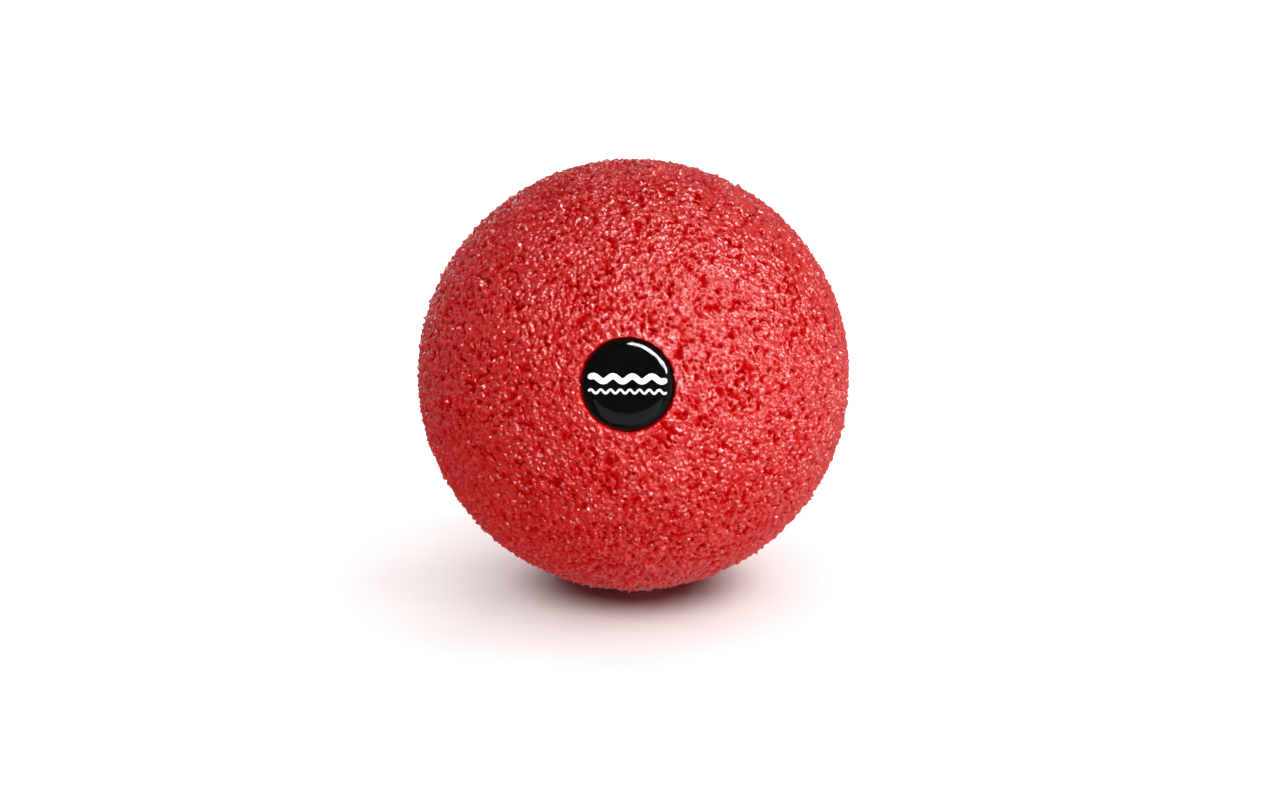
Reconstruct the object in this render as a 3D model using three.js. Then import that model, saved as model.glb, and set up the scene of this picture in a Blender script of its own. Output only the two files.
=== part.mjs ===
// A massage ball: one moulded ball of fused foam beads, with a shallow round pocket in its skin
// and a domed badge glued into the pocket. The badge is a stack of three discs: the adhesive, the
// printed film and the clear cast dome.
//
// Millimetres, +Z up, origin at the ball's centre. The ball lies so that the badge looks ahead
// along -Y, turned a little upwards and a little towards -X.
//
// Every piece is a body of revolution about the badge's axis. Its profile is drawn in two
// coordinates: the distance from that axis, and the height along it from the ball's centre.
import * as THREE from 'three';

// Driving dimensions
const BALL_DIAMETER = 80;
const BADGE_DIAMETER = 16;
const BADGE_TILT_UP = 13.9; // degrees above level
const BADGE_TURN = 1.5; // degrees from -Y towards -X
const POCKET_DEPTH = 2.7; // from the round of the ball down to the pocket's flat floor
const POCKET_CLEARANCE = 0.15; // between the badge's edge and the pocket's wall
const LIP_ROUNDING = 0.4; // where the pocket's wall turns over into the ball's skin
const LAYER_GAP = 0.1; // kept free between one layer of the badge and the next
const ADHESIVE_THICKNESS = 0.3;
const FILM_THICKNESS = 0.2;
const DOME_EDGE = 0.2; // the dome's upright edge, before its crown begins
const DOME_CROWN = 1.5; // how far the crown rises above that edge
const CROWN_POWER = 4; // the higher, the flatter the crown's middle
const CROWN_SHOULDER = 0.6; // the lower, the rounder the crown's shoulder at the edge
const ADHESIVE_INSET = 0.25; // the adhesive is cut a little smaller than the film

// Facets
const TURN_SEGMENTS = 72; // around the badge's axis
const SKIN_STEP = 5; // degrees between points on the round of the ball
const LIP_STEPS = 4;
const CROWN_STEPS = 18;

const ballRadius = BALL_DIAMETER / 2;
const badgeRadius = BADGE_DIAMETER / 2;
const pocketRadius = badgeRadius + POCKET_CLEARANCE;
const pocketFloor = ballRadius - POCKET_DEPTH;
const adhesiveBase = pocketFloor + LAYER_GAP;
const filmBase = adhesiveBase + ADHESIVE_THICKNESS + LAYER_GAP;
const domeBase = filmBase + FILM_THICKNESS + LAYER_GAP;

const foam = new THREE.MeshStandardMaterial({ color: 0xc8282b, roughness: 0.55, metalness: 0 });
const adhesive = new THREE.MeshStandardMaterial({ color: 0xe9e6dc, roughness: 0.6, metalness: 0 });
const film = new THREE.MeshStandardMaterial({ color: 0x08080a, roughness: 0.3, metalness: 0 });
const clearResin = new THREE.MeshStandardMaterial({
  color: 0xffffff,
  roughness: 0.03,
  metalness: 0,
  transparent: true,
  opacity: 0.25,
});

// Points on an arc about (centreOut, centreUp), from one angle to the other, in radians.
function arc(centreOut, centreUp, radius, fromAngle, toAngle, steps) {
  return Array.from({ length: steps + 1 }, (_, i) => {
    const angle = THREE.MathUtils.lerp(fromAngle, toAngle, i / steps);
    const out = centreOut + radius * Math.cos(angle);
    return new THREE.Vector2(out, centreUp + radius * Math.sin(angle));
  });
}

function turned(name, profile, material) {
  const mesh = new THREE.Mesh(new THREE.LatheGeometry(profile, TURN_SEGMENTS), material);
  mesh.name = name;
  return mesh;
}

function flatDisc(name, radius, base, thickness, material) {
  const profile = [
    new THREE.Vector2(0, base),
    new THREE.Vector2(radius, base),
    new THREE.Vector2(radius, base + thickness),
    new THREE.Vector2(0, base + thickness),
  ];
  return turned(name, profile, material);
}

// The ball's round runs from the pole behind the badge up to the pocket. There a small arc, which
// touches both the round and the pocket's wall, turns the skin over into the wall.
function foamBall() {
  const lipOut = pocketRadius + LIP_ROUNDING;
  const lipUp = Math.sqrt((ballRadius - LIP_ROUNDING) ** 2 - lipOut ** 2);
  const lipAngle = Math.atan2(lipUp, lipOut);
  const backPole = -Math.PI / 2;
  const skinSteps = Math.round((lipAngle - backPole) / THREE.MathUtils.degToRad(SKIN_STEP));
  const skin = arc(0, 0, ballRadius, backPole, lipAngle, skinSteps);
  const lip = arc(lipOut, lipUp, LIP_ROUNDING, lipAngle, Math.PI, LIP_STEPS);
  const profile = [
    ...skin,
    ...lip.slice(1),
    new THREE.Vector2(pocketRadius, pocketFloor),
    new THREE.Vector2(0, pocketFloor),
  ];
  return turned('foam_ball', profile, foam);
}

// The cast resin is nearly flat in the middle and falls away ever faster towards its edge, where
// its surface is steep and its points lie closest together.
function badgeDome() {
  const crownBase = domeBase + DOME_EDGE;
  const crown = Array.from({ length: CROWN_STEPS + 1 }, (_, i) => {
    const share = Math.sin((Math.PI / 2) * (1 - i / CROWN_STEPS));
    const rise = (1 - share ** CROWN_POWER) ** CROWN_SHOULDER;
    return new THREE.Vector2(badgeRadius * share, crownBase + DOME_CROWN * rise);
  });
  const profile = [new THREE.Vector2(0, domeBase), new THREE.Vector2(badgeRadius, domeBase), ...crown];
  return turned('badge_dome', profile, clearResin);
}

// Turns the profiles' axis, which is +Y, to where the badge looks.
function badgeDirection() {
  const up = THREE.MathUtils.degToRad(BADGE_TILT_UP);
  const turn = THREE.MathUtils.degToRad(BADGE_TURN);
  return new THREE.Vector3(
    -Math.sin(turn) * Math.cos(up),
    -Math.cos(turn) * Math.cos(up),
    Math.sin(up),
  );
}

const massageBall = new THREE.Group();
massageBall.quaternion.setFromUnitVectors(new THREE.Vector3(0, 1, 0), badgeDirection());
massageBall.add(
  foamBall(),
  flatDisc('badge_adhesive', badgeRadius - ADHESIVE_INSET, adhesiveBase, ADHESIVE_THICKNESS, adhesive),
  flatDisc('badge_film', badgeRadius, filmBase, FILM_THICKNESS, film),
  badgeDome(),
);

export default massageBall;
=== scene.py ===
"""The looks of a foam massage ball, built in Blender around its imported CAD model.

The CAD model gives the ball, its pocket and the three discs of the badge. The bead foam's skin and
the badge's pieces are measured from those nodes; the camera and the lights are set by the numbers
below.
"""
import math

import bpy
import numpy as np
from mathutils import Matrix, Vector
from mathutils.kdtree import KDTree


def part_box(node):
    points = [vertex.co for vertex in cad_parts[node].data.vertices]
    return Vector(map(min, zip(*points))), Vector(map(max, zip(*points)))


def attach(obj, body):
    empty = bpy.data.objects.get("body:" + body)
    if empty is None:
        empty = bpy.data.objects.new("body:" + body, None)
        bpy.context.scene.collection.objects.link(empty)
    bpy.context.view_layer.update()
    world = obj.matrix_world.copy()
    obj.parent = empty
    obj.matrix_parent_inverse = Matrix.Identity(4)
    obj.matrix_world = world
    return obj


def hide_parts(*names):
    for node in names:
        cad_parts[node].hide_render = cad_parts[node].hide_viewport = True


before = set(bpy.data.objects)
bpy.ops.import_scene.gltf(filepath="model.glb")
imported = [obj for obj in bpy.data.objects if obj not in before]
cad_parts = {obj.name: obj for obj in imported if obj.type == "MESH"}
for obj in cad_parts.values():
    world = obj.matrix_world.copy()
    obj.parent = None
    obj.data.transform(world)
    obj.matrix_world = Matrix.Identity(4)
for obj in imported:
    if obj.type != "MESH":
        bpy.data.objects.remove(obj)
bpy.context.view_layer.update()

MM = 0.001

# ---- The foam's skin, in millimetres
SKIN_STEPS = 340  # quads along each side of the six patches that make up the ball
LIP_ROUNDING = 0.4  # as the CAD ball's pocket has it
POCKET_CORNER = 0.15  # rounding between the pocket's wall and its floor
STRAY = 0.42  # how far a bead or a dimple strays from its even place, as a share of the spacing
# size is a cap's radius, rise its height, lift how far some stand above the others, and blend how
# softly one runs into the next. near is how many neighbours are weighed at each point.
BEADS = dict(spacing=1.35, near=6, size=(0.6, 1.1), rise=(0.12, 0.26), lift=0.05, blend=0.03)
DIMPLES = dict(spacing=0.62, near=4, size=(0.31, 0.53), rise=(0.08, 0.20), lift=0.04, blend=0.02)
DIMPLE_SHARE = 1.75  # how strongly the dimples are pressed in
CREASE_DEPTH = 0.22  # the creases between beads are filled up to this depth
PIT_DEPTH = 0.52
PIT_WIDTH = 0.22
PIT_PATCHES = 1.7  # about this far from an area with open pits to one without
PIT_OPENING = (0.05, 0.45)  # a pit begins to open, and is fully open, where noise has these values
PAINTED_POCKET_SHADE_DEPTH = 2.0  # painted shade: the pocket is coloured like a pit as deep as this
SHINE_DEPTHS = (0.25, 0.7)  # the skin shines fully down to the first, and no more from the second
GRAIN_HEIGHT = 0.14
GRAIN_LENGTH = 0.62
SWELL_HEIGHT = 0.08  # a slow unevenness of the whole skin
SWELL_LENGTH = 5.0
SKIN_TOP = 99.5  # per cent of the skin's points lie within the round of the CAD ball
# The relief fades in past the pocket's wall in two parts: how much, from where, and up to where
RELIEF_FADES = ((0.4, -0.2, 3.0), (0.6, -0.1, 0.7))
PATCH_MARGIN = 0.01  # left free along each side of a patch in the flat layout, as a share of it
BEAD_SEED, PIT_SEED, GRAIN_SEED, SWELL_SEED = 8, 2, 3, 5
CORNER_STEPS, LIP_STEPS, WAY_STEPS = 12, 40, 600  # points on the pocket's section

# ---- The badge, in millimetres
DOME_EDGE = 0.2  # the dome's upright edge, as in the CAD dome
CROWN_POWER = 4  # the crown's formula is the CAD dome's too
CROWN_SHOULDER = 0.6
DOME_SUNK = 0.03  # the dome's flat side lies this deep in the film, so that no gap shows
DOME_BEVEL = 0.05
DISC_BEVEL = 0.04
BADGE_SEGMENTS = 192
CROWN_STEPS = 60
INK_THICKNESS = 0.02
WAVE_HALF_LENGTH = 6.7
WAVE_STEPS = 160

# ---- The view: a 100 mm lens, above the floor and well back
CAMERA_DISTANCE = 656.7 * MM
CAMERA_ELEVATION = 17  # degrees
LENS = 100
AIM_RIGHT = 1.2 * MM  # the camera looks a little to the right of the ball's centre
AIM_BELOW = 4.7 * MM  # and a little below it

# ---- The studio, in metres
FLOOR_HALF_WIDTH = 60.0
FLOOR_SUNS = 8
FLOOR_SUN_ELEVATION = 45  # degrees
FLOOR_SUN_SIZE = 30  # degrees
FLOOR_LIGHT = 5.0  # enough to turn the floor white
FLOOR_LIGHT_FROM_RIGHT = 0.25  # the right sun is brighter by this share, and the left one dimmer
BACKDROP_STRENGTH = 1.05  # the white that the camera sees behind everything
BRIGHT_SIDE = (0.8, 0.5, -0.35)  # the world is brightest this way: right, behind and low
BRIGHT_SIDE_RANGE = (-0.3, 0.8)  # where a direction's dot product with it goes from dim to bright
WORLD_STRENGTH = (0.01, 0.6)  # how dim and how bright the world is in what is mirrored

# Softboxes: name, azimuth and elevation in degrees, distance, width and height, brightness
KEY_STRIP = ("key_strip", 44, 49, 1.0, 1.0, 0.24, 11.5)
FOAM_BOXES = (
    ("front_box", -12, 12, 1.2, 0.24, 0.34, 16.0),
    ("low_strip", 5, -8, 1.2, 0.5, 0.15, 9.0),
    ("right_box", 60, 5, 1.2, 0.26, 0.36, 10.2),
    ("side_box", 85, 5, 1.2, 0.26, 0.4, 6.8),
    ("left_wall", -95, 14, 1.2, 2.0, 1.3, 0.38),
    ("top_box", 0, 88, 1.1, 1.0, 1.0, 1.25),
    ("back_wall", 190, 3, 1.2, 1.0, 0.5, 2.5),
)
DOME_STRIP = ("dome_strip", 41, 48, 1.0, 1.1, 0.36, 36.0)
DOME_BENCH = ("dome_bench", 0, -19, 1.2, 1.5, 0.74, 0.48)

NOISE_RANGE = (0.3, 0.7)  # where nearly all of a noise texture's values lie


# ---------------------------------------------------------------- measured from the CAD nodes

film_low, film_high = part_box("badge_film")
BADGE_AXIS = np.array(((film_low + film_high) / 2).normalized())


def along_and_out(node):
    """For each vertex of a CAD node, its height along the badge's axis and its distance from it."""
    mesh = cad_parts[node].data
    points = np.empty(len(mesh.vertices) * 3)
    mesh.vertices.foreach_get("co", points)
    points = points.reshape(-1, 3)
    height = points @ BADGE_AXIS
    out = np.linalg.norm(points - height[:, None] * BADGE_AXIS, axis=1)
    return height, out


def axis_frame():
    """The badge's own right and up, for someone who faces it."""
    up = np.array([0.0, 0.0, 1.0])
    up -= (up @ BADGE_AXIS) * BADGE_AXIS
    up /= np.linalg.norm(up)
    return np.cross(up, BADGE_AXIS), up


BADGE_RIGHT, BADGE_UP = axis_frame()
ball_height, ball_out = along_and_out("foam_ball")
BALL_RADIUS = float(np.hypot(ball_height, ball_out).max())
POCKET_FLOOR = float(ball_height[(ball_out < 0.1 * MM) & (ball_height > 0)].max())
POCKET_RADIUS = float(ball_out[np.abs(ball_height - POCKET_FLOOR) < 0.01 * MM].max())


# ---------------------------------------------------------------- noise, worked out by numpy

def mixed_bits(cells, seed):
    """A repeatable 32-bit number for each row of whole numbers."""
    x, y, z = (cells[:, k].astype(np.int64).astype(np.uint32) for k in range(3))
    bits = x * np.uint32(0x8DA6B343) ^ y * np.uint32(0xD8163841) ^ z * np.uint32(0xCB1AB31F)
    bits = bits ^ np.uint32((seed * 0x9E3779B1) & 0xFFFFFFFF)
    for shift, factor in ((15, 0x2C1B3C6D), (12, 0x297A2D39)):
        bits = (bits ^ (bits >> np.uint32(shift))) * np.uint32(factor)
    return bits ^ (bits >> np.uint32(15))


def value_noise(points, wavelength, seed):
    """Smooth noise from -1 to 1 that changes over about one wavelength."""
    scaled = points / wavelength
    base = np.floor(scaled)
    part = scaled - base
    part = part * part * part * (part * (part * 6 - 15) + 10)
    total = np.zeros(len(points))
    for corner in range(8):
        step = np.array([corner & 1, corner >> 1 & 1, corner >> 2 & 1])
        share = np.prod(np.where(step, part, 1 - part), axis=1)
        total += share * (mixed_bits(base + step, seed) / 2**31 - 1)
    return total


def smooth(low, high, value):
    """0 below low, 1 above high, and a smooth step between."""
    t = np.clip((value - low) / (high - low), 0, 1)
    return t * t * (3 - 2 * t)


# ---------------------------------------------------------------- mesh helpers

def mesh_object(name, points, faces, smooth_faces=True):
    """A piece in the scene, from points in metres and faces that list their points by number."""
    mesh = bpy.data.meshes.new(name)
    mesh.from_pydata(points, [], faces)
    mesh.update()
    mesh.polygons.foreach_set("use_smooth", [smooth_faces] * len(mesh.polygons))
    piece = bpy.data.objects.new(name, mesh)
    bpy.context.scene.collection.objects.link(piece)
    return piece


def turned_object(name, profile):
    """A closed body of revolution about the badge's axis. The profile runs from axis to axis, as
    (distance out, height) pairs in metres, with its first and last points on the axis."""
    segments = BADGE_SEGMENTS
    angles = np.linspace(0, 2 * math.pi, segments, endpoint=False)
    around = np.outer(np.cos(angles), BADGE_RIGHT) + np.outer(np.sin(angles), BADGE_UP)
    points = [profile[0][1] * BADGE_AXIS]
    for out, height in profile[1:-1]:
        points.extend(out * around + height * BADGE_AXIS)
    points.append(profile[-1][1] * BADGE_AXIS)
    faces = []
    rings = len(profile) - 2
    for i in range(segments):
        j = (i + 1) % segments
        faces.append((0, 1 + j, 1 + i))
        for ring in range(rings - 1):
            low, high = 1 + ring * segments, 1 + (ring + 1) * segments
            faces.append((low + i, low + j, high + j, high + i))
        top = 1 + (rings - 1) * segments
        faces.append((top + i, top + j, len(points) - 1))
    return mesh_object(name, [tuple(p) for p in points], faces)


# ---------------------------------------------------------------- the foam ball

def cube_sphere(steps):
    """A ball of six square patches. Returns unit directions, quads and each quad corner's place
    in a flat layout of the six patches, three by two."""
    row = steps + 1
    line = np.tan(np.linspace(-math.pi / 4, math.pi / 4, row))
    a, b = np.meshgrid(line, line, indexing="ij")
    share = np.linspace(PATCH_MARGIN, 1 - PATCH_MARGIN, row)
    flat_a, flat_b = np.meshgrid(share, share, indexing="ij")
    axes = ((2, 0, 1), (0, 1, 2), (1, 2, 0))
    directions, places, quads = [], [], []
    for patch in range(6):
        main, first, second = axes[patch % 3]
        sign = 1 if patch < 3 else -1
        grid = np.empty((row, row, 3))
        grid[..., main] = sign
        grid[..., first] = a
        grid[..., second] = b * sign
        grid /= np.linalg.norm(grid, axis=2, keepdims=True)
        directions.append(grid.reshape(-1, 3))
        place = np.stack([(patch % 3 + flat_a) / 3, (patch // 3 + flat_b) / 2], axis=-1)
        places.append(place.reshape(-1, 2))
        index = patch * row**2 + np.arange(row**2).reshape(row, row)
        corners = (index[:-1, :-1], index[1:, :-1], index[1:, 1:], index[:-1, 1:])
        quads.append(np.stack([c.ravel() for c in corners], axis=1))
    directions, places, quads = (np.concatenate(x) for x in (directions, places, quads))

    # Where two patches meet, their points become one
    _, first_seen, joined = np.unique(
        np.round(directions, 7), axis=0, return_index=True, return_inverse=True
    )
    return directions[first_seen], joined.reshape(-1)[quads], places[quads]


def arc(centre_out, centre_up, radius, from_angle, to_angle, steps):
    """Points on an arc, as rows of distance out and height."""
    turn = np.linspace(from_angle, to_angle, steps)
    return np.stack([centre_out + radius * np.cos(turn), centre_up + radius * np.sin(turn)], 1)


def pocket_profile():
    """The pocket's section, from its middle out over the lip, in even steps. Returns the way along
    it, the distance out, the height, the outward normal in those two directions, and the angle
    from the badge's axis to where the lip meets the round of the ball."""
    lip = LIP_ROUNDING * MM
    corner = POCKET_CORNER * MM
    lip_out = POCKET_RADIUS + lip
    lip_up = math.sqrt((BALL_RADIUS - lip) ** 2 - lip_out**2)
    lip_angle = math.atan2(lip_up, lip_out)
    corner_out, corner_up = POCKET_RADIUS - corner, POCKET_FLOOR + corner
    low = arc(corner_out, corner_up, corner, -math.pi / 2, 0, CORNER_STEPS)
    high = arc(lip_out, lip_up, lip, math.pi, lip_angle, LIP_STEPS)
    line = np.concatenate([[[0, POCKET_FLOOR]], low, high])
    way = np.concatenate([[0], np.cumsum(np.linalg.norm(np.diff(line, axis=0), axis=1))])
    even = np.linspace(0, way[-1], WAY_STEPS)
    out, height = np.interp(even, way, line[:, 0]), np.interp(even, way, line[:, 1])
    slope_out, slope_up = np.gradient(out, even), np.gradient(height, even)
    return even, out, height, -slope_up, slope_out, math.pi / 2 - lip_angle


def smooth_ball(directions):
    """The ball's shape before its beads: points, normals, and how far each point is from the
    badge's axis along the skin, all in metres."""
    along = directions @ BADGE_AXIS
    flat = directions - along[:, None] * BADGE_AXIS
    flat /= np.maximum(np.linalg.norm(flat, axis=1, keepdims=True), 1e-9)
    angle = np.arccos(np.clip(along, -1, 1))
    way, out, height, normal_out, normal_up, lip_angle = pocket_profile()
    on_way = np.clip(angle / lip_angle, 0, 1) * way[-1]
    inside = angle < lip_angle

    def pick(pocket, ball):
        return np.where(inside, np.interp(on_way, way, pocket), ball)[:, None]

    points = pick(out, BALL_RADIUS * np.sin(angle)) * flat
    points += pick(height, BALL_RADIUS * along) * BADGE_AXIS
    normals = pick(normal_out, np.sin(angle)) * flat + pick(normal_up, along) * BADGE_AXIS
    normals /= np.linalg.norm(normals, axis=1, keepdims=True)
    return points, normals, np.where(inside, on_way, BALL_RADIUS * angle)


def bead_centres(spacing, random):
    """Beads spread evenly over the ball, each strayed a little, as unit directions."""
    # Beads in a honeycomb take up 0.866 of the square of their spacing each
    count = int(4 * math.pi * BALL_RADIUS**2 / (0.866 * (spacing * MM) ** 2))
    turn = np.arange(count) * math.pi * (3 - math.sqrt(5))
    up = 1 - (2 * np.arange(count) + 1) / count
    level = np.sqrt(1 - up**2)
    centres = np.stack([level * np.cos(turn), level * np.sin(turn), up], axis=1)
    centres += random.normal(0, STRAY * spacing * MM / BALL_RADIUS, centres.shape)
    return centres / np.linalg.norm(centres, axis=1, keepdims=True)


def nearest_beads(directions, centres, count):
    """For each direction, its nearest beads and their distances, in millimetres."""
    tree = KDTree(len(centres))
    for i, centre in enumerate(centres):
        tree.insert(centre, i)
    tree.balance()
    which, far = np.empty((len(directions), count), int), np.empty((len(directions), count))
    for i, direction in enumerate(directions):
        for k, (_, index, distance) in enumerate(tree.find_n(direction, count)):
            which[i, k] = index
            far[i, k] = distance
    return which, far * BALL_RADIUS / MM


def blisters(directions, random, spacing, near, size, rise, lift, blend):
    """Round caps of many sizes that grow into each other. Each cap is a paraboloid about its own
    centre, and the skin follows whichever is highest, so that the creases between two of them are
    arcs. Returns the height and how far off the nearest few centres are, both in millimetres."""
    centres = bead_centres(spacing, random)
    which, far = nearest_beads(directions, centres, near)
    radius = random.uniform(*size, len(centres))
    top = random.normal(0, lift, len(centres))
    bulge = random.uniform(*rise, len(centres))
    caps = top[which] + bulge[which] * (1 - (far / radius[which]) ** 2)
    highest = caps.max(axis=1, keepdims=True)
    height = highest[:, 0] + blend * np.log(np.exp((caps - highest) / blend).sum(axis=1))
    return height, far


def bead_relief(directions, random):
    """The skin's height over the smooth ball, in millimetres."""
    here = directions * BALL_RADIUS / MM
    beads, far = blisters(directions, random, **BEADS)
    height = np.maximum(beads, -CREASE_DEPTH)

    # Pits where three beads meet, open in some places and closed in others
    corner = far[:, 2] - far[:, 0]
    open_pit = smooth(*PIT_OPENING, value_noise(here, PIT_PATCHES, PIT_SEED))
    height -= PIT_DEPTH * open_pit * np.exp(-((corner / PIT_WIDTH) ** 2))

    # Dimples with sharp ridges between them, which catch the light
    dimples, _ = blisters(directions, random, **DIMPLES)
    height -= DIMPLE_SHARE * dimples

    height += GRAIN_HEIGHT * value_noise(here, GRAIN_LENGTH, GRAIN_SEED)
    height += SWELL_HEIGHT * value_noise(here, SWELL_LENGTH, SWELL_SEED)
    return height


def build_foam():
    """The whole ball with its pocket, its relief, a flat layout for baking, and how deep each point
    lies, with the pocket's painted shade added, as a value that its material reads."""
    random = np.random.default_rng(BEAD_SEED)
    directions, quads, places = cube_sphere(SKIN_STEPS)
    points, normals, from_axis = smooth_ball(directions)
    relief = bead_relief(directions, random)
    relief -= np.percentile(relief, SKIN_TOP)

    past_wall = (from_axis - POCKET_RADIUS) / MM
    strength = sum(share * smooth(low, high, past_wall) for share, low, high in RELIEF_FADES)
    points = points + normals * (relief * strength * MM)[:, None]
    # Painted shade: the pocket counts as deep, so that its colour is painted nearly black
    pocket_painted_shade = PAINTED_POCKET_SHADE_DEPTH * (1 - smooth(0, LIP_ROUNDING, past_wall))

    ball = mesh_object("foam_skin", points.tolist(), quads.tolist())
    layout = ball.data.uv_layers.new(name="OFBake")
    layout.data.foreach_set("uv", places.reshape(-1).astype(np.float32))
    # The depth that the material reads also carries the pocket's painted shade
    depth = ball.data.attributes.new("depth", "FLOAT", "POINT")
    depth.data.foreach_set("value", (-relief * strength + pocket_painted_shade).astype(np.float32))
    return ball


# ---------------------------------------------------------------- the badge

def build_badge():
    """The clear dome, the film and the adhesive, and the height of the film's top."""
    dome_height, dome_out = along_and_out("badge_dome")
    film_height, film_out = along_and_out("badge_film")
    _, glue_out = along_and_out("badge_adhesive")
    radius = float(dome_out.max())
    top = float(dome_height.max())
    film_top = float(film_height.max())
    edge = float(dome_height.min()) + DOME_EDGE * MM
    crown = top - edge

    share = np.sin(np.linspace(math.pi / 2, 0, CROWN_STEPS))
    base = film_top - DOME_SUNK * MM
    soft = DOME_BEVEL * MM
    profile = [(0, base), (radius - 2 * soft, base), (radius - soft, base), (radius, base + soft)]
    profile += [(radius * s, edge + crown * (1 - s**CROWN_POWER) ** CROWN_SHOULDER) for s in share]
    dome = turned_object("badge_clear_dome", profile)

    bevel = DISC_BEVEL * MM
    film_base = float(film_height.min())
    film_profile = disc_profile(float(film_out.max()) - bevel, film_base, film_top, bevel)
    film = turned_object("badge_black_film", film_profile)
    glue_profile = disc_profile(float(glue_out.max()), POCKET_FLOOR, film_base, bevel)
    glue = turned_object("badge_glue", glue_profile)
    return dome, film, glue, film_top


def disc_profile(radius, low, high, bevel):
    """A flat disc's section, with its two edges bevelled."""
    return [
        (0, low),
        (radius - 2 * bevel, low),
        (radius - bevel, low),
        (radius, low + bevel),
        (radius, high - bevel),
        (radius - bevel, high),
        (radius - 2 * bevel, high),
        (0, high),
    ]


def wave_ribbon(name, film_top, middle, half_width, swing, waves):
    """A wavy printed line on the film: a thin closed ribbon with round ends. middle is how far it
    lies above the badge's centre. All but film_top, which is in metres, is in millimetres."""
    steps, half_length = WAVE_STEPS, WAVE_HALF_LENGTH
    x = np.linspace(-half_length, half_length, steps + 1)
    phase = x / half_length * math.pi * waves
    y = middle + swing * np.sin(phase)
    slope = swing * math.pi * waves / half_length * np.cos(phase)
    length = np.sqrt(1 + slope**2)
    into_end = np.clip(np.abs(x) - half_length + half_width, 0, None) / half_width
    ends = np.sqrt(np.clip(1 - into_end**2, 0.0004, 1))  # never quite a point
    across = np.stack([-slope / length, 1 / length], 1) * half_width * ends[:, None]
    line = np.stack([x, y], 1)
    points = []
    for side, level in ((1, 0), (-1, 0), (-1, INK_THICKNESS), (1, INK_THICKNESS)):
        for u, v in line + side * across:
            on_film = MM * (u * BADGE_RIGHT + v * BADGE_UP)
            points.append(tuple(on_film + (film_top + level * MM) * BADGE_AXIS))
    row = steps + 1
    faces = []
    for i in range(steps):
        for side in range(4):
            a, b = side * row, (side + 1) % 4 * row
            faces.append((a + i, b + i, b + i + 1, a + i + 1))
    faces.append((0, 3 * row, 2 * row, row))
    faces.append((steps, row + steps, 2 * row + steps, 3 * row + steps))
    return mesh_object(name, points, faces, smooth_faces=False)


# ---------------------------------------------------------------- materials and their nodes

def new_material(name, **sockets):
    """A material and its shader. A socket's name is written with _ for each space."""
    material = bpy.data.materials.new(name)
    material.use_nodes = True
    shader = material.node_tree.nodes["Principled BSDF"]
    for socket, value in sockets.items():
        shader.inputs[socket.replace("_", " ")].default_value = value
    return material, shader


def node(owner, kind, **settings):
    """A shader node in a material or a world, with some of its inputs or own settings given."""
    made = owner.node_tree.nodes.new(kind)
    for key, value in settings.items():
        if key in made.inputs:
            made.inputs[key].default_value = value
        else:
            setattr(made, key, value)
    return made


def link(owner, source, target):
    """Joins two sockets in a material or a world."""
    owner.node_tree.links.new(source, target)


def noise(material, length, detail=2.0, roughness=0.5):
    """Noise over the piece's own coordinates that changes over about this many millimetres."""
    place = node(material, "ShaderNodeTexCoord")
    texture = node(
        material, "ShaderNodeTexNoise", Scale=1 / (length * MM), Detail=detail, Roughness=roughness
    )
    link(material, place.outputs["Object"], texture.inputs["Vector"])
    return texture.outputs["Fac"]


def ranged(owner, source, given, wanted):
    """Turns the given range of values into the wanted one."""
    change = node(owner, "ShaderNodeMapRange")
    change.inputs["From Min"].default_value, change.inputs["From Max"].default_value = given
    change.inputs["To Min"].default_value, change.inputs["To Max"].default_value = wanted
    link(owner, source, change.inputs["Value"])
    return change.outputs["Result"]


def toned(material, source, *stops):
    """Colours between stops, which are (value, red, green, blue), for values from 0 to 1."""
    ramp = node(material, "ShaderNodeValToRGB")
    elements = ramp.color_ramp.elements
    while len(elements) < len(stops):
        elements.new(1.0)
    for element, (value, *colour) in zip(elements, stops):
        element.position = value
        element.color = (*colour, 1)
    link(material, source, ramp.inputs["Fac"])
    return ramp.outputs["Color"]


def bumped(material, shader, source, height):
    """Bump from a source between 0 and 1, in millimetres."""
    bump = node(material, "ShaderNodeBump", Strength=1.0, Distance=height * MM)
    link(material, source, bump.inputs["Height"])
    link(material, bump.outputs["Normal"], shader.inputs["Normal"])


def foam_material():
    """Moulded foam with a waxy skin, whose colour is darkened as painted shade in its pits and its
    pocket.
    """
    material, shader = new_material("red_bead_foam", IOR=1.7)
    depth = node(material, "ShaderNodeAttribute", attribute_name="depth").outputs["Fac"]

    # Painted shade: bright red on the beads' tops, deeper red in the pits, and nearly black in the
    # pocket
    share = ranged(material, depth, (0, PAINTED_POCKET_SHADE_DEPTH), (0, 1))
    red = toned(
        material, share, (0.03, 0.60, 0.002, 0.002), (0.35, 0.37, 0.001, 0.001), (1.0, 0.03, 0, 0)
    )
    link(material, red, shader.inputs["Base Color"])

    # Glossier here, duller there
    gloss = ranged(material, noise(material, 1.1), NOISE_RANGE, (0.12, 0.26))
    link(material, gloss, shader.inputs["Roughness"])

    # Hardly any shine deep in the pits
    shine = ranged(material, depth, SHINE_DEPTHS, (1.0, 0.0))
    link(material, shine, shader.inputs["Specular IOR Level"])

    # Wrinkles too fine for the mesh
    bumped(material, shader, noise(material, 0.4, roughness=0.6), 0.04)
    return material


def clear_resin_material():
    """Cast resin: clear and glossy, with the faint unevenness of a poured surface."""
    material, shader = new_material("clear_resin", Transmission_Weight=1.0, IOR=1.38)
    haze = ranged(material, noise(material, 1.5), NOISE_RANGE, (0.01, 0.02))
    link(material, haze, shader.inputs["Roughness"])
    bumped(material, shader, noise(material, 3.0, detail=0.0), 0.006)
    return material


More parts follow.
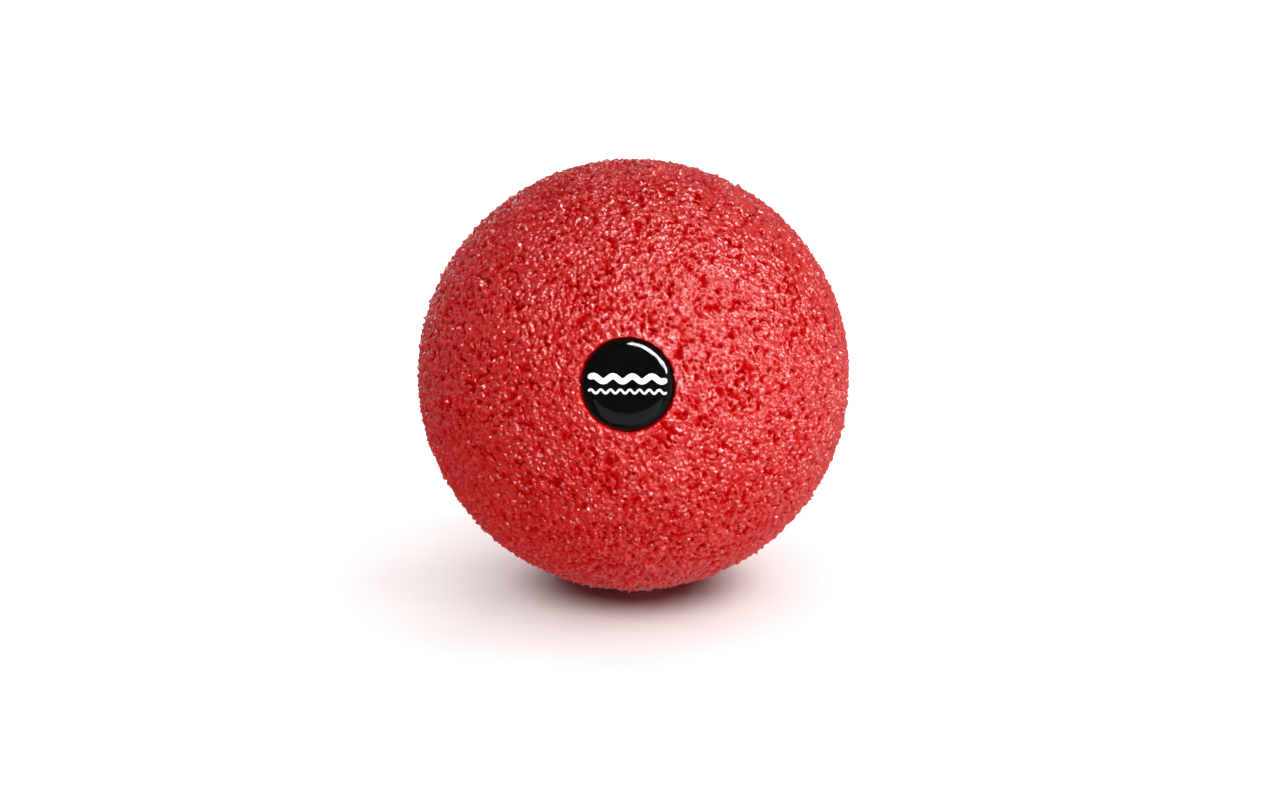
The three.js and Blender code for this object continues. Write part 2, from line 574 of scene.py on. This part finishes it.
def black_film_material():
    """Printed black, a little denser here than there."""
    material, shader = new_material("black_film", Roughness=0.4, Specular_IOR_Level=0.0)
    density = noise(material, 0.3)
    black = toned(material, density, (0.3, 0.001, 0.001, 0.001), (0.7, 0.003, 0.003, 0.003))
    link(material, black, shader.inputs["Base Color"])
    return material


def white_ink_material():
    """Screen-printed white with a fine grain."""
    material, shader = new_material("white_ink", Roughness=0.4, Specular_IOR_Level=0.0)
    grain = noise(material, 0.12)
    white = toned(material, grain, (0.3, 0.78, 0.79, 0.80), (0.7, 0.92, 0.92, 0.92))
    link(material, white, shader.inputs["Base Color"])
    return material


def adhesive_material():
    """Pale, milky adhesive with duller and glossier patches."""
    material, shader = new_material("adhesive")
    cloud = noise(material, 0.8)
    milky = toned(material, cloud, (0.3, 0.72, 0.69, 0.61), (0.7, 0.82, 0.80, 0.74))
    link(material, milky, shader.inputs["Base Color"])
    dull = ranged(material, noise(material, 0.5), NOISE_RANGE, (0.45, 0.75))
    link(material, dull, shader.inputs["Roughness"])
    return material


def floor_material():
    """Plain matt white, which the suns turn as white as the backdrop."""
    material, _ = new_material(
        "floor_white", Base_Color=(0.9, 0.9, 0.9, 1), Roughness=0.6, Specular_IOR_Level=0.0
    )
    return material


# ---------------------------------------------------------------- the studio

def build_floor():
    """A floor that reaches further than the camera sees."""
    around = ((-1, -1), (1, -1), (1, 1), (-1, 1))
    corners = [(x * FLOOR_HALF_WIDTH, y * FLOOR_HALF_WIDTH, -BALL_RADIUS) for x, y in around]
    floor = mesh_object("studio_floor", corners, [(0, 1, 2, 3)])
    floor.data.materials.append(floor_material())
    # The light from below, as on a lit table, comes through the floor, and nothing mirrors it
    floor.visible_glossy = False
    floor.visible_shadow = False
    return floor


def light_only(lamp, pieces):
    """The lamp lights these pieces and nothing else, though everything still casts its shadow."""
    lit = bpy.data.collections.new(lamp.name + "_lights")
    for piece in pieces:
        lit.objects.link(piece)
    lamp.light_linking.receiver_collection = lit


def toward(azimuth, elevation):
    """The direction from the ball. Azimuth 0 is at the camera, 90 at its right."""
    side, up = math.radians(azimuth), math.radians(elevation)
    return Vector((math.sin(side) * math.cos(up), -math.cos(side) * math.cos(up), math.sin(up)))


def softbox(name, azimuth, elevation, distance, width, height, brightness, across=(0, 0, 1)):
    """A soft light that faces the ball, with its width at right angles to across. Angles are in
    degrees, and the distance, width and height in metres."""
    lamp = bpy.data.lights.new(name, "AREA")
    lamp.shape = "RECTANGLE"
    lamp.size, lamp.size_y = width, height
    lamp.energy = brightness * math.pi * width * height
    made = bpy.data.objects.new(name, lamp)
    back = toward(azimuth, elevation)
    wide = Vector(across).cross(back).normalized()
    turned = Matrix((wide, back.cross(wide), back)).transposed()
    made.matrix_world = Matrix.Translation(distance * back) @ turned.to_4x4()
    bpy.context.scene.collection.objects.link(made)
    return made


def build_lights(foam, under_dome, dome, floor):
    """Most softboxes light the foam and what lies under the dome. The only lamps that the dome
    mirrors are a narrow strip above and a dim bench below, so that the rest of it stays black."""
    matt = [foam, *under_dome]
    light_only(softbox(*KEY_STRIP, across=BADGE_AXIS), matt)
    for box in FOAM_BOXES:
        light_only(softbox(*box), matt)
    light_only(softbox(*DOME_STRIP, across=BADGE_AXIS), [dome])
    light_only(softbox(*DOME_BENCH), [dome])

    # The floor's own light comes slanting from all round, a little more from the right
    for azimuth in range(0, 360, 360 // FLOOR_SUNS):
        sun = bpy.data.lights.new("floor_sky", "SUN")
        more = 1 + FLOOR_LIGHT_FROM_RIGHT * math.sin(math.radians(azimuth))
        sun.energy = FLOOR_LIGHT * more / math.sin(math.radians(FLOOR_SUN_ELEVATION)) / FLOOR_SUNS
        sun.angle = math.radians(FLOOR_SUN_SIZE)
        lamp = bpy.data.objects.new("floor_sky", sun)
        back = toward(azimuth, FLOOR_SUN_ELEVATION)
        lamp.rotation_euler = back.to_track_quat("Z", "Y").to_euler()
        bpy.context.scene.collection.objects.link(lamp)
        light_only(lamp, [floor])


def build_world():
    """White where the camera sees it. It lights nothing, but it is seen in what is mirrored: dim at
    the left, and bright low at the right and behind, as a white bench is in a dark room."""
    world = bpy.data.worlds.new("studio")
    bpy.context.scene.world = world
    world.use_nodes = True
    world.cycles_visibility.diffuse = False
    seen = world.node_tree.nodes["Background"]
    seen.inputs["Color"].default_value = (1, 1, 1, 1)
    seen.inputs["Strength"].default_value = BACKDROP_STRENGTH

    mirrored = node(world, "ShaderNodeBackground")
    place = node(world, "ShaderNodeTexCoord")
    toward_bright = node(world, "ShaderNodeVectorMath", operation="DOT_PRODUCT")
    toward_bright.inputs[1].default_value = BRIGHT_SIDE
    link(world, place.outputs["Generated"], toward_bright.inputs[0])
    strength = ranged(world, toward_bright.outputs["Value"], BRIGHT_SIDE_RANGE, WORLD_STRENGTH)
    link(world, strength, mirrored.inputs["Strength"])

    path = node(world, "ShaderNodeLightPath")
    mix = node(world, "ShaderNodeMixShader")
    link(world, path.outputs["Is Camera Ray"], mix.inputs["Fac"])
    link(world, mirrored.outputs["Background"], mix.inputs[1])
    link(world, seen.outputs["Background"], mix.inputs[2])
    link(world, mix.outputs["Shader"], world.node_tree.nodes["World Output"].inputs["Surface"])


def build_camera():
    """A long lens that looks down at the ball, with no roll."""
    lens = bpy.data.cameras.new("camera")
    lens.lens = LENS
    lens.clip_start = 0.01
    lens.clip_end = 100
    camera = bpy.data.objects.new("camera", lens)
    bpy.context.scene.collection.objects.link(camera)
    back = toward(0, CAMERA_ELEVATION)
    above = toward(180, 90 - CAMERA_ELEVATION)
    aim = Vector((AIM_RIGHT, 0, 0)) - AIM_BELOW * above
    camera.location = CAMERA_DISTANCE * back + aim
    camera.rotation_euler = (-back).to_track_quat("-Z", "Y").to_euler()
    bpy.context.scene.camera = camera


# ---------------------------------------------------------------- putting it together

def add_piece(piece, material, slot, *nodes):
    """Gives a piece its material, and hides the CAD nodes that it stands for, if any. The slot is
    not used.
    """
    piece.data.materials.append(material)
    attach(piece, "root")
    if nodes:
        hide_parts(*nodes)


build_camera()
ball = build_foam()
add_piece(ball, foam_material(), "bead_foam", "foam_ball")

dome, film, glue, film_top = build_badge()
add_piece(dome, clear_resin_material(), "clear_resin", "badge_dome")
add_piece(film, black_film_material(), "black_film", "badge_film")
add_piece(glue, adhesive_material(), "adhesive", "badge_adhesive")
ink = white_ink_material()
under_dome = [film, glue]
for ribbon in (
    wave_ribbon("badge_broad_wave", film_top, middle=1.05, half_width=0.5, swing=0.45, waves=4),
    wave_ribbon("badge_thin_wave", film_top, middle=-1.15, half_width=0.18, swing=0.32, waves=8),
):
    add_piece(ribbon, ink, "black_film")
    under_dome.append(ribbon)
dome.visible_shadow = False  # the clear dome lets light through to the print

build_lights(ball, under_dome, dome, build_floor())
build_world()
bpy.context.scene.view_settings.view_transform = "Standard"
